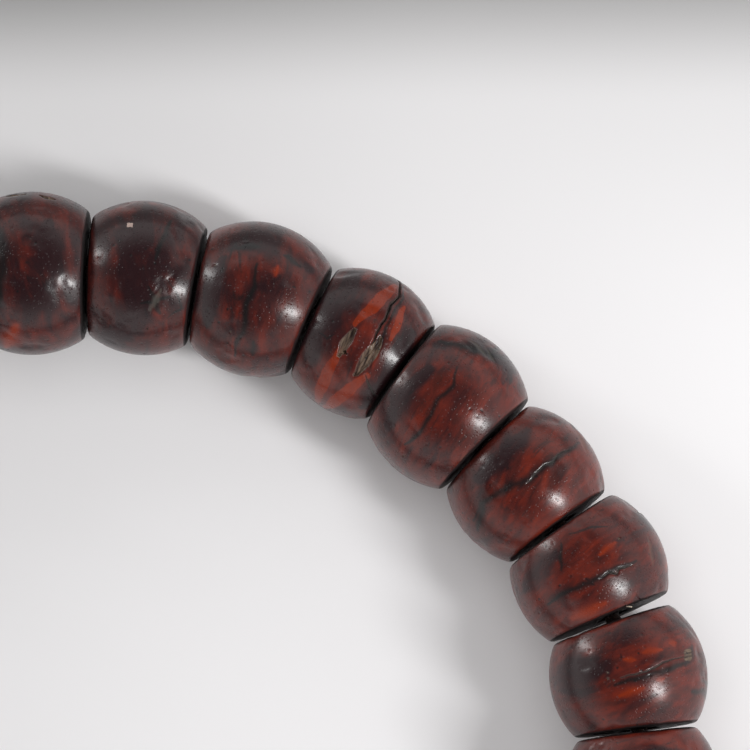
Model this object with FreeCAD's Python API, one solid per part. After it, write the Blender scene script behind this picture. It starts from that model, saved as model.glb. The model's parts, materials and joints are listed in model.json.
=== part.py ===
"""A wrist mala: drum-cut seed beads strung on one cord that closes through a three-hole guru bead.

Millimetres and degrees. The strand lies in a loop on the surface z = 0, with +Z up. The guru bead and
its tail point along -Y, and the origin is on the surface, midway across the whole object both ways.
Beads are numbered from the guru bead, clockwise as seen from above.
"""
import FreeCAD
import Part
import math
import os

Vector = FreeCAD.Vector

# The beads: short drums, each a ball with its two ends cut flat. Long wear has slanted the ends, so that
# a bead is shorter on the inside of the bend, and the faces of two neighbours stand nearly parallel.
bead_diameter = 10.5
bead_length = 7.4        # along the bore
rim_rounding = 0.35
bore_chamfer = 0.3

# What makes each bead its own: how far its diameter and length stand from the typical ones.
diameter_offsets = [0.10, -0.20, 0.25, -0.05, 0.15, -0.30, 0.05, 0.20, -0.15,
                    0.45, -0.15, -0.05, -0.55, 0.20, -0.25, -0.05, 0.10, 0.00,
                    -0.20, 0.30, 0.05, -0.10, 0.25, -0.35, 0.15, -0.05, 0.20]
length_offsets = [-0.30, -0.20, 0.15, 0.35, -0.05, -0.40, 0.05, 0.05, 0.25,
                  0.00, -0.20, 0.40, -0.55, -0.20, -0.25, -0.70, -0.10, 0.00,
                  0.20, -0.20, 0.05, 0.25, -0.15, 0.00, 0.20, -0.35, -0.40]
# How many degrees more than the even turn the strand bends after each bead but the last.
turn_offsets = [0.8, -1.5, 1.2, -0.6, 1.9, -1.8, 0.4, -1.0, 0.6,
                -8.3, -2.8, 1.2, -3.2, -8.0, -0.9, 3.6, -2.8, -0.6,
                1.6, -1.2, 0.9, -1.4, 2.0, -0.8, 1.1, -1.9]

# How many degrees the faces stand open towards the outside of the bend, after each bead but the last.
face_openings = [0.9, 1.5, 1.2, 0.8, 1.8, 2.0, 0.5, 0.2, 1.0,
                 0.0, 0.0, 0.6, 0.0, 0.2, 1.6, 4.0, 0.5, 0.4,
                 1.2, 0.2, 0.8, 1.8, 1.1, 0.6, 0.4, 1.1]

# The cord and the room it has.
cord_diameter = 1.1
bore_play = 0.6          # between the cord and a bead's bore, all round
face_gap = 0.25          # between the faces of two beads where they are nearest
strand_clearance = 0.1   # between the two strands of the tail
counting_slack = 3.0     # bare cord left after the last bead
run_share = 0.45         # part of a straight run that the arc at each end of it takes up

# The guru bead: a ball with a hole through it, and a third hole that lets both strands out.
guru_oversize = 1.5      # its diameter, over a typical bead's
guru_gap = 0.3           # from the guru bead to the strand's corner beside it
end_gap = 0.2            # from the same corner to the flat end of the bead next to it
guru_bore_play = 0.9
tail_play = 0.4
guru_turn_radius = 2.2
mouth_flare = 0.35

# The tower bead, which stands on the guru bead over the third hole.
tower_length = 8.0
tower_base_radius = 3.2
tower_neck_radius = 2.15
tower_bulb_radius = 2.65
tower_tip_radius = 2.0
seat_gap = 0.2

# The knot that closes the cord, and the two trimmed ends past it.
knot_length = 3.4
knot_radius = 1.9
knot_rounding = 1.2
knot_gap = 0.2
tail_end_length = 7.0
tail_end_spread = 2.0
floor_gap = 0.2

# Worked out from the values above.
bead_count = len(diameter_offsets)
cord_radius = cord_diameter / 2
bore_radius = cord_radius + bore_play
strand_offset = cord_radius + strand_clearance / 2
cord_height = bead_diameter / 2
guru_radius = (bead_diameter + guru_oversize) / 2
guru_bore_radius = cord_radius + guru_bore_play
tail_bore_radius = strand_offset + cord_radius + tail_play
tower_start = math.sqrt(guru_radius ** 2 - tower_base_radius ** 2) + seat_gap
knot_distance = tower_start + tower_length + knot_gap + knot_length / 2
tail_droop = math.asin((guru_radius - knot_radius - floor_gap) / knot_distance)


def bead_radius(index):
    return (bead_diameter + diameter_offsets[index]) / 2


def bead_half_length(index):
    return (bead_length + length_offsets[index]) / 2


def rim_radius(index, slant):
    """Of the round edge at an end that is slanted so much."""
    return math.sqrt(bead_radius(index) ** 2 - (bead_half_length(index) * math.cos(slant)) ** 2)


def inner_reach(index, slant):
    """How far the end's edge reaches from the bore's axis on the inside of the bend."""
    return bead_half_length(index) * math.sin(slant) + rim_radius(index, slant)


def half_gap(index, slant, opening):
    """From the end of a bead's bore to the corner between it and the next bead."""
    widest = max(inner_reach(index, slant), inner_reach(index + 1, slant))
    return widest * math.tan(opening / 2) + face_gap / 2


def heading_vector(heading):
    return Vector(math.cos(heading), math.sin(heading), 0)


def walk(even_turn, lean):
    """The strand's corners, one before each bead and one after the last, laid out flat.

    The lean bends the strand more towards its first bead and less towards its last. How far each bead
    starts past its corner, and how far the faces at each corner are slanted, come with the corners.
    """
    last = len(turn_offsets) - 1
    turns = [
        math.radians(even_turn + lean * (1 - 2 * index / last) + offset)
        for index, offset in enumerate(turn_offsets)
    ]
    openings = [math.radians(opening) for opening in face_openings]
    slants = [(turn - opening) / 2 for turn, opening in zip(turns, openings)]
    gaps = [half_gap(index, slants[index], openings[index]) for index in range(len(turns))]
    before = [end_gap] + gaps
    after = gaps + [end_gap + counting_slack]
    corners = [Vector(0, 0, 0)]
    heading = 0.0
    for index in range(bead_count):
        run = before[index] + 2 * bead_half_length(index) + after[index]
        corners.append(corners[-1] + heading_vector(heading) * run)
        if index < len(turns):
            heading -= turns[index]
    return corners, before, [0.0] + slants + [0.0]


def halve(low, high, is_low):
    """The value between two limits at which is_low stops being true."""
    for _ in range(45):
        middle = (low + high) / 2
        if is_low(middle):
            low = middle
        else:
            high = middle
    return low


def closing_turn(lean):
    """The even turn that leaves room for exactly the guru bead between the strand's two ends."""
    room = 2 * (guru_radius + guru_gap)

    def is_open(turn):
        corners = walk(turn, lean)[0]
        return (corners[-1] - corners[0]).Length > room

    return halve(180 / bead_count, 360 / (bead_count - 1), is_open)


def bend(run, next_run):
    """How far the strand turns clockwise from one run to the next."""
    return math.atan2(-run.cross(next_run).z, run.dot(next_run))


def level_lean():
    """The lean at which the strand turns equally on both sides of the guru bead."""
    def turns_late(lean):
        corners = walk(closing_turn(lean), lean)[0]
        across = corners[0] - corners[-1]
        first = bend(across, corners[1] - corners[0])
        return bend(corners[-1] - corners[-2], across) < first

    return halve(-1.5, 1.5, turns_late)


def centred(corners):
    """Turn the loop so that the guru bead's hole lies along X, and centre the object on Z."""
    across = corners[-1] - corners[0]
    turned = FreeCAD.Rotation(across, Vector(1, 0, 0))
    guru = turned.multVec((corners[0] + corners[-1]) / 2)
    flat = [turned.multVec(corner) - guru for corner in corners]
    middles = [(flat[index] + flat[index + 1]) / 2 for index in range(bead_count)]
    right = max(spot.x + bead_radius(index) for index, spot in enumerate(middles))
    left = min(spot.x - bead_radius(index) for index, spot in enumerate(middles))
    far = max(spot.y + bead_radius(index) for index, spot in enumerate(middles))
    near = -knot_distance * math.cos(tail_droop) - tail_end_length
    shift = Vector(-(right + left) / 2, -(far + near) / 2, 0)
    return [corner + shift for corner in flat], shift


def lay_out():
    """Every bead's centre, axis and ends' slants, the corners at the cord's height, and the guru's centre."""
    lean = level_lean()
    corners, before, slants = walk(closing_turn(lean), lean)
    placed, guru = centred(corners)
    beads = []
    for index in range(bead_count):
        axis = (placed[index + 1] - placed[index]).normalize()
        along = before[index] + bead_half_length(index)
        centre = placed[index] + axis * along
        centre.z = bead_radius(index)
        beads.append((centre, axis, slants[index:index + 2]))
    raised = [corner + Vector(0, 0, cord_height) for corner in placed]
    return beads, raised, guru + Vector(0, 0, guru_radius)


tail_axis = Vector(0, -math.cos(tail_droop), -math.sin(tail_droop))


def cord_route(corners, guru):
    """The whole cord: tail end, knot, guru bead, round the loop, guru bead, knot, tail end."""
    def tail(side):
        offset = Vector(side * strand_offset, 0, 0)
        knot = guru + offset + tail_axis * knot_distance
        end = Vector(knot.x + side * tail_end_spread, knot.y - tail_end_length, cord_radius + floor_gap)
        return [guru + offset, knot, end]

    return tail(-1)[::-1] + corners + tail(1)


def arc_radius(points, index, guru):
    """As large as the two runs at this point allow, but in the guru bead the size of its turn."""
    before = points[index] - points[index - 1]
    after = points[index + 1] - points[index]
    half_turn = before.getAngle(after) / 2
    largest = run_share * min(before.Length, after.Length) / math.tan(half_turn)
    inside_guru = (points[index] - guru).Length < guru_radius
    return min(largest, guru_turn_radius) if inside_guru else largest


def cord_path(points, guru):
    """Straight runs joined by tangent arcs, and the radius of each arc."""
    edges = []
    radii = []
    start = points[0]
    for index in range(1, len(points) - 1):
        point = points[index]
        back = (points[index - 1] - point).normalize()
        ahead = (points[index + 1] - point).normalize()
        half_turn = (math.pi - back.getAngle(ahead)) / 2
        radius = arc_radius(points, index, guru)
        reach = radius * math.tan(half_turn)
        bisector = (back + ahead).normalize()
        middle = point + bisector * (radius / math.cos(half_turn) - radius)
        edges.append(Part.LineSegment(start, point + back * reach).toShape())
        edges.append(Part.Arc(point + back * reach, middle, point + ahead * reach).toShape())
        start = point + ahead * reach
        radii.append(radius)
    edges.append(Part.LineSegment(start, points[-1]).toShape())
    return Part.Wire(edges), radii


def tube(path, radius):
    """A round cord along the path."""
    first = path.Edges[0]
    section = Part.makeCircle(radius, first.valueAt(first.FirstParameter), first.tangentAt(first.FirstParameter))
    return path.makePipeShell([Part.Wire(section)], True, False)


def stand(shape, spot, axis):
    """Move a shape made round Z to a spot, with its Z along the given axis."""
    shape.Placement = FreeCAD.Placement(spot, FreeCAD.Rotation(Vector(0, 0, 1), axis))
    return shape


def circles(shape, *radii):
    """The shape's round edges of these radii."""
    rounds = [edge for edge in shape.Edges if isinstance(edge.Curve, Part.Circle)]
    return [edge for edge in rounds if min(abs(edge.Curve.Radius - radius) for radius in radii) < 1e-4]


def bead(index, centre, axis, slants):
    """A ball with slanted flat ends and rounded rims, drilled along its axis.

    It is made round Z, with X towards the outside of the bend, and then placed.
    """
    half = bead_half_length(index)
    radius = bead_radius(index)
    drum = Part.makeSphere(radius)
    for end, slant in zip((-1, 1), slants):
        way = Vector(-math.sin(slant), 0, end * math.cos(slant))
        drum = drum.cut(Part.makeCylinder(2 * radius, 2 * radius, Vector(0, 0, end * half), way))
    rims = circles(drum, *(rim_radius(index, slant) for slant in slants))
    drum = drum.makeFillet(rim_rounding, rims)
    drum = drum.cut(Part.makeCylinder(bore_radius, 2 * radius, Vector(0, 0, -radius)))
    drum = drum.makeChamfer(bore_chamfer, bore_mouths(drum))
    outside = Vector(0, 0, 1).cross(axis)
    drum.Placement = FreeCAD.Placement(centre, FreeCAD.Rotation(outside, Vector(0, 0, 1), axis, "ZXY"))
    return drum


def bore_mouths(drum):
    """The edges where the bore meets the ends: ellipses at a slanted end."""
    return [edge for edge in drum.Edges if isinstance(edge.Curve, Part.Ellipse)] + circles(drum, bore_radius)


def drill(radius, spot, axis, depth):
    """A drill for one hole, from inside a ball out through its surface, with a flared mouth."""
    mouth = math.sqrt(guru_radius ** 2 - radius ** 2)
    bit = Part.makeCylinder(radius, depth)
    flare = Part.makeCone(radius, radius + 2 * mouth_flare, 2 * mouth_flare, Vector(0, 0, mouth - mouth_flare))
    return stand(bit.fuse(flare), spot, axis)


def guru_bead(guru):
    """A larger ball with a hole across it and a third hole out to the tail."""
    ball = Part.makeSphere(guru_radius, guru)
    depth = 2 * guru_radius
    for radius, axis in (
        (guru_bore_radius, Vector(1, 0, 0)),
        (guru_bore_radius, Vector(-1, 0, 0)),
        (tail_bore_radius, tail_axis),
    ):
        ball = ball.cut(drill(radius, guru, axis, depth))
    return ball


def tower_bead(guru):
    """A turned tower: a broad foot hollowed to sit on the guru bead, a neck, a bulb and a tip."""
    foot = tower_length * 0.28
    neck = tower_length * 0.42
    bulb = tower_length * 0.64
    outline = [
        Part.LineSegment(Vector(0, 0, 0), Vector(tower_base_radius, 0, 0)),
        Part.Arc(
            Vector(tower_base_radius, 0, 0),
            Vector(tower_base_radius, 0, foot / 2),
            Vector(tower_neck_radius, 0, neck),
        ),
        Part.Arc(
            Vector(tower_neck_radius, 0, neck),
            Vector(tower_bulb_radius, 0, bulb),
            Vector(tower_tip_radius, 0, tower_length),
        ),
        Part.LineSegment(Vector(tower_tip_radius, 0, tower_length), Vector(0, 0, tower_length)),
        Part.LineSegment(Vector(0, 0, tower_length), Vector(0, 0, 0)),
    ]
    face = Part.Face(Part.Wire([piece.toShape() for piece in outline]))
    turned = face.revolve(Vector(0, 0, 0), Vector(0, 0, 1), 360)
    turned = turned.cut(Part.makeCylinder(tail_bore_radius, tower_length))
    turned = stand(turned, guru + tail_axis * tower_start, tail_axis)
    return turned.cut(Part.makeSphere(guru_radius + seat_gap, guru))


def closing_knot(guru, cord):
    """The lump of the knot, with the two strands of the cord through it."""
    lump = Part.makeCylinder(knot_radius, knot_length, Vector(0, 0, -knot_length / 2))
    lump = lump.makeFillet(knot_rounding, circles(lump, knot_radius))
    return stand(lump, guru + tail_axis * knot_distance, tail_axis).cut(cord)


def build():
    """Every sub-part, by name."""
    beads, corners, guru = lay_out()
    path, radii = cord_path(cord_route(corners, guru), guru)
    cord = tube(path, cord_radius)
    parts = {
        f"bead_{index + 1:02d}": bead(index, centre, axis, slants)
        for index, (centre, axis, slants) in enumerate(beads)
    }
    parts["guru_bead"] = guru_bead(guru)
    parts["tower_bead"] = tower_bead(guru)
    parts["stringing_cord"] = cord
    parts["closing_knot"] = closing_knot(guru, cord)
    print("cord arc radii:", ", ".join(f"{radius:.1f}" for radius in radii))
    print(f"cord length {path.Length:.1f}, volume {cord.Volume:.2f},"
          f" section times length {math.pi * cord_radius ** 2 * path.Length:.2f}")
    return parts


os.makedirs("parts", exist_ok=True)
for name, shape in build().items():
    shape.exportStep(f"parts/{name}.step")
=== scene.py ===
"""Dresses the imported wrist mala: worn seed beads, the guru bead, the tower bead, the cord and its knot."""
import json
import math
import random
from collections import namedtuple

import bmesh
import bpy
import numpy as np
from bpy.props import FloatProperty, FloatVectorProperty, IntProperty, PointerProperty
from mathutils import Matrix, Vector


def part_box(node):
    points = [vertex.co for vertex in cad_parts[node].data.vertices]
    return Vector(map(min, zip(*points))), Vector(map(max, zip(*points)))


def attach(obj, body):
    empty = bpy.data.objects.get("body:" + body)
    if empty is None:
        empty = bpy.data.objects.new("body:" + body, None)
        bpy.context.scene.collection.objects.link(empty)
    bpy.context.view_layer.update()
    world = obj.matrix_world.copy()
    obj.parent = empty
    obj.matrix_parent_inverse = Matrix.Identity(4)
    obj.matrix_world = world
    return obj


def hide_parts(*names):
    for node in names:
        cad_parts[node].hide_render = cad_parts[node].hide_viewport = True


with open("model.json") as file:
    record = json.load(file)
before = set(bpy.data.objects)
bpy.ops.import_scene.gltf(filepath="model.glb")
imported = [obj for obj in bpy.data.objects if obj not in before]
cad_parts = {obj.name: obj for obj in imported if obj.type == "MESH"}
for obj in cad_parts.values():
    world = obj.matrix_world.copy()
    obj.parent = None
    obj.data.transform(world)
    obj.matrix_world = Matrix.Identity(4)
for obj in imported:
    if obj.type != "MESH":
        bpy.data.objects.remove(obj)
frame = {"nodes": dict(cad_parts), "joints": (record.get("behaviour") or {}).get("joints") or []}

bl_info = {
    "name": "Worn Seed Mala",
    "version": (1, 0, 0),
    "blender": (4, 5, 0),
    "location": "View3D > Sidebar > Mala",
    "description": "Makes the beads, cord and knot of a hand-worn wrist mala on its packed frame",
    "category": "Object",
}

MM = 0.001
UP = Vector((0, 0, 1))
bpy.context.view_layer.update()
JOINTS = {joint["child"]: joint for joint in frame["joints"]}
BEADS = sorted(node for node in frame["nodes"] if node.startswith("bead_"))


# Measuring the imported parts


def box_middle(node):
    low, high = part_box(node)
    return (low + high) / 2


class Bead:
    """A packed bead's place and sizes, measured on its solid.

    Its frame has its Z along the bore towards the next bead, its X towards the outside of the loop and
    its Y up. A slant is how far an end leans, so that the bead is shorter on the inside of the loop.
    """

    def __init__(self, node):
        mesh = frame["nodes"][node].data
        self.axis = Vector(JOINTS[node]["axis"]).normalized()
        self.out = UP.cross(self.axis)
        spots = [vertex.co for vertex in mesh.vertices]
        heights = [spot.z for spot in spots]
        widths = [spot.dot(self.out) for spot in spots]
        self.radius = (max(heights) - min(heights)) / 2
        on_axis = self.out * (max(widths) + min(widths)) / 2 + UP * (max(heights) + min(heights)) / 2
        self.slants = []
        ends = []
        for way in (-self.axis, self.axis):
            ends_way = [face for face in mesh.polygons if face.normal.dot(way) > 0.9]
            flat = max(ends_way, key=lambda face: face.area)
            self.slants.append(math.atan2(-flat.normal.dot(self.out), flat.normal.dot(way)))
            ends.append((flat.center - on_axis).dot(flat.normal) / flat.normal.dot(self.axis))
        self.half = (ends[1] - ends[0]) / 2
        self.middle = on_axis + self.axis * (ends[0] + ends[1]) / 2
        arms = [spot - self.middle for spot in spots]
        self.bore = min((arm - self.axis * arm.dot(self.axis)).length for arm in arms)

    def place(self):
        """The matrix that lays a shape made in the bead's own frame into the loop."""
        columns = Matrix((self.out, UP, self.axis)).transposed()
        return Matrix.Translation(self.middle) @ columns.to_4x4()

    def depth_in(self, spots):
        """How far points in the bead's frame lie inside its nearer end, in the points' unit."""
        back, front = self.slants
        half = self.half / MM
        to_front = (half - spots[:, 2]) * math.cos(front) + spots[:, 0] * math.sin(front)
        to_back = (half + spots[:, 2]) * math.cos(back) + spots[:, 0] * math.sin(back)
        return np.minimum(to_front, to_back)


# Formulas in nodes


class Value:
    """A number that nodes work out, so that a rule can be written as a formula."""

    def __init__(self, tree, socket):
        self.tree = tree
        self.socket = socket

    def calc(self, operation, *others):
        node = self.tree.nodes.new("ShaderNodeMath")
        node.operation = operation
        for slot, value in zip(node.inputs, (self, *others)):
            feed(self.tree, slot, value)
        return Value(self.tree, node.outputs[0])

    def __add__(self, other):
        return self.calc("ADD", other)

    def __sub__(self, other):
        return self.calc("SUBTRACT", other)

    def __mul__(self, other):
        return self.calc("MULTIPLY", other)

    def __truediv__(self, other):
        return self.calc("DIVIDE", other)

    __radd__ = __add__
    __rmul__ = __mul__

    def flip(self):
        """One less this number."""
        return self * -1 + 1

    def ramp(self, low, high):
        """Rises smoothly from 0 at low to 1 at high."""
        node = self.tree.nodes.new("ShaderNodeMapRange")
        node.interpolation_type = "SMOOTHSTEP"
        for slot, value in zip(node.inputs, (self, low, high, 0, 1)):
            feed(self.tree, slot, value)
        return Value(self.tree, node.outputs[0])


def feed(tree, slot, value):
    """Link a node's output to an input, or set the input to a plain value."""
    if isinstance(value, Value):
        value = value.socket
    if isinstance(value, bpy.types.NodeSocket):
        tree.links.new(value, slot)
    else:
        slot.default_value = value


def add(tree, kind, inputs=None, output=0, **settings):
    """Add a node with its settings and inputs, and return one of its outputs."""
    node = tree.nodes.new(kind)
    for name, value in settings.items():
        setattr(node, name, value)
    for name, value in (inputs or {}).items():
        feed(tree, node.inputs[name], value)
    return node.outputs[output]


def vector(tree, x, y, z):
    return add(tree, "ShaderNodeCombineXYZ", {"X": x, "Y": y, "Z": z})


def split(tree, place):
    node = tree.nodes.new("ShaderNodeSeparateXYZ")
    feed(tree, node.inputs[0], place)
    return [Value(tree, socket) for socket in node.outputs]


def noise(tree, place, scale, detail=3.0, roughness=0.55, distortion=0.0):
    inputs = {
        "Vector": place, "Scale": scale, "Detail": detail, "Roughness": roughness, "Distortion": distortion,
    }
    return Value(tree, add(tree, "ShaderNodeTexNoise", inputs))


def scaled(tree, place, factor):
    return add(tree, "ShaderNodeVectorMath", {0: place, "Scale": factor}, operation="SCALE")


def cells(tree, place, scale):
    """A cell pattern: the distance to each cell's point, and two chances that each cell draws."""
    far = add(tree, "ShaderNodeTexVoronoi", {"Vector": place, "Scale": scale}, output="Distance")
    red, green, _blue = split(tree, far.node.outputs["Color"])
    return Value(tree, far), red, green


def mix(tree, factor, first, second):
    """A colour between two others."""
    node = tree.nodes.new("ShaderNodeMix")
    node.data_type = "RGBA"
    node.clamp_factor = True
    colours = [slot for slot in node.inputs if slot.type == "RGBA"]
    feed(tree, node.inputs["Factor"], factor)
    feed(tree, colours[0], first)
    feed(tree, colours[1], second)
    return next(slot for slot in node.outputs if slot.type == "RGBA")


def grain_place(tree, place, tilt, round_share, along_share):
    """Coordinates in which a pattern is drawn out round the bead, leaning by the tilt."""
    x, y, z = split(tree, place)
    return vector(tree, x * round_share, y * round_share, (z + x * tilt) * along_share)


def new_tree(name, kind, inputs, outputs):
    """An empty node group with named inputs and outputs."""
    tree = bpy.data.node_groups.new(name, kind)
    for label, socket, default in inputs:
        slot = tree.interface.new_socket(label, in_out="INPUT", socket_type=socket)
        if default is not None:
            slot.default_value = default
    for label, socket in outputs:
        tree.interface.new_socket(label, in_out="OUTPUT", socket_type=socket)
    return tree, tree.nodes.new("NodeGroupInput").outputs, tree.nodes.new("NodeGroupOutput").inputs


def use_group(tree, group, values):
    """Place a node group in a tree and return the node."""
    kind = "GeometryNodeGroup" if tree.bl_idname == "GeometryNodeTree" else "ShaderNodeGroup"
    node = tree.nodes.new(kind)
    node.node_tree = group
    for name, value in values.items():
        feed(tree, node.inputs[name], value)
    return node


NUMBER, WHOLE, PLACE = "NodeSocketFloat", "NodeSocketInt", "NodeSocketVector"
COLOUR, SHAPE, FINISH = "NodeSocketColor", "NodeSocketGeometry", "NodeSocketMaterial"
WEAR = {
    "Seed": 0.0, "Grain Tilt": 0.0, "Wobble": 0.06, "Dent Depth": 0.12, "Grain Depth": 0.012,
    "Pit Depth": 0.06,
}
WEAR_INPUTS = [(name, NUMBER, default) for name, default in WEAR.items()]


# Shape rules, as geometry nodes


def seed_wear_tree():
    """Wears a surface: slightly out of round, dented, grained and pitted, always inwards."""
    tree, given, out = new_tree(
        "Seed wear", "GeometryNodeTree", [("Geometry", SHAPE, None), *WEAR_INPUTS], [("Geometry", SHAPE)],
    )
    x, y, z = split(tree, add(tree, "GeometryNodeInputPosition"))
    seed = Value(tree, given["Seed"])
    place = vector(tree, x / MM + seed * 17.3, y / MM + seed * 9.1, z / MM + seed * 5.7)
    grain = grain_place(tree, place, given["Grain Tilt"], 0.22, 1.6)
    wobble = noise(tree, place, 0.13, 1.0) * given["Wobble"]
    dents = noise(tree, place, 0.42, 1.5).ramp(0.55, 0.78) * given["Dent Depth"]
    ridges = noise(tree, grain, 1.6, 2.0) * given["Grain Depth"]
    far, red, green = cells(tree, place, 1.9)
    pits = far.ramp(0.08, 0.26).flip() * red.ramp(0.72, 0.74) * (green * 0.7 + 0.3)
    inwards = (wobble + dents + ridges + pits * given["Pit Depth"]) * -MM
    push = scaled(tree, add(tree, "GeometryNodeInputNormal"), inwards)
    placed = note(tree, given["Geometry"], "place", place, "FLOAT_VECTOR")
    moved = add(tree, "GeometryNodeSetPosition", {"Geometry": placed, "Offset": push})
    tree.links.new(note(tree, moved, "pit", pits, "FLOAT"), out["Geometry"])
    return tree


def note(tree, geometry, name, value, kind):
    """Store a value at every point."""
    return add(
        tree, "GeometryNodeStoreNamedAttribute", {"Geometry": geometry, "Name": name, "Value": value},
        data_type=kind, domain="POINT",
    )


def worn(tree, wear, geometry, given):
    return use_group(tree, wear, {"Geometry": geometry, **{name: given[name] for name in WEAR}}).outputs[0]


def finish_tree(tree, geometry, material, out):
    """Realize what is instanced, give it its material and end the tree."""
    solid = add(tree, "GeometryNodeRealizeInstances", {"Geometry": geometry})
    dressed = add(tree, "GeometryNodeSetMaterial", {"Geometry": solid, "Material": material})
    tree.links.new(dressed, out["Geometry"])


def drum_bead_tree(wear):
    """A drum: a belly, two slanted ends and a bore, blended by a smooth minimum and swept round the axis.

    A fullness of 1 makes the belly a ball's, and more makes it stand straighter towards the ends.
    """
    tree, given, out = new_tree(
        "Drum bead", "GeometryNodeTree",
        [
            ("Radius", NUMBER, 0.005), ("Half Length", NUMBER, 0.003), ("Bore Radius", NUMBER, 0.001),
            ("Back Slant", NUMBER, 0.1), ("Front Slant", NUMBER, 0.1), ("Fullness", NUMBER, 1.12),
            ("Rim Softness", NUMBER, 0.0006), ("Rows Around", WHOLE, 240), ("Rows Along", WHOLE, 100),
            ("Belly Share", NUMBER, 0.55), *WEAR_INPUTS, ("Material", FINISH, None),
        ],
        [("Geometry", SHAPE)],
    )
    around = Value(tree, given["Rows Around"]) + 1
    along = Value(tree, given["Rows Along"]) + 1
    sheet = {"Size X": 1.0, "Size Y": 1.0, "Vertices X": along, "Vertices Y": around}
    grid = add(tree, "GeometryNodeMeshGrid", sheet)
    u, v, _flat = split(tree, add(tree, "GeometryNodeInputPosition"))
    turn = 2 * math.pi
    bunched = u - (u * turn).calc("SINE") * given["Belly Share"] * (1 / turn)
    profile_turn = bunched * turn
    sine, cosine = profile_turn.calc("SINE"), profile_turn.calc("COSINE")
    radius, bore = Value(tree, given["Radius"]), Value(tree, given["Bore Radius"])
    hub = (radius + bore) * 0.5
    belly = radius * given["Fullness"]
    inset = hub - radius + belly
    to_belly = (belly * belly - inset * inset * sine * sine).calc("SQRT") - inset * cosine
    sweep = v * -turn
    outwards = sweep.calc("COSINE")

    def to_end(slant, side):
        """Along a ray from the hub to an end's plane; the side is 1 in front and -1 behind."""
        lean = Value(tree, given[slant])
        tilt = lean.calc("SINE") * outwards
        room = Value(tree, given["Half Length"]) * lean.calc("COSINE") + tilt * hub
        return room / (lean.calc("COSINE") * sine * side - tilt * cosine).calc("MAXIMUM", 1e-4)

    to_bore = (hub - bore) / (cosine * -1).calc("MAXIMUM", 1e-4)
    softness = given["Rim Softness"]
    reach = to_belly
    for limit in (to_end("Back Slant", -1), to_end("Front Slant", 1), to_bore):
        reach = reach.calc("SMOOTH_MIN", limit, softness)
    out_from_axis = hub + reach * cosine
    place = vector(
        tree, out_from_axis * outwards, out_from_axis * sweep.calc("SINE"), reach * sine,
    )
    shaped = add(tree, "GeometryNodeSetPosition", {"Geometry": grid, "Position": place})
    closed = add(tree, "GeometryNodeMergeByDistance", {"Geometry": shaped, "Distance": 1e-7})
    finish_tree(tree, worn(tree, wear, closed, given), given["Material"], out)
    return tree


def ball_tree(wear):
    """A worn round ball, before it is drilled."""
    tree, given, out = new_tree(
        "Worn ball", "GeometryNodeTree",
        [
            ("Radius", NUMBER, 0.006), ("Subdivisions", WHOLE, 7), *WEAR_INPUTS, ("Material", FINISH, None),
        ],
        [("Geometry", SHAPE)],
    )
    ball = add(
        tree, "GeometryNodeMeshIcoSphere", {"Radius": given["Radius"], "Subdivisions": given["Subdivisions"]},
    )
    finish_tree(tree, worn(tree, wear, ball, given), given["Material"], out)
    return tree


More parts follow.
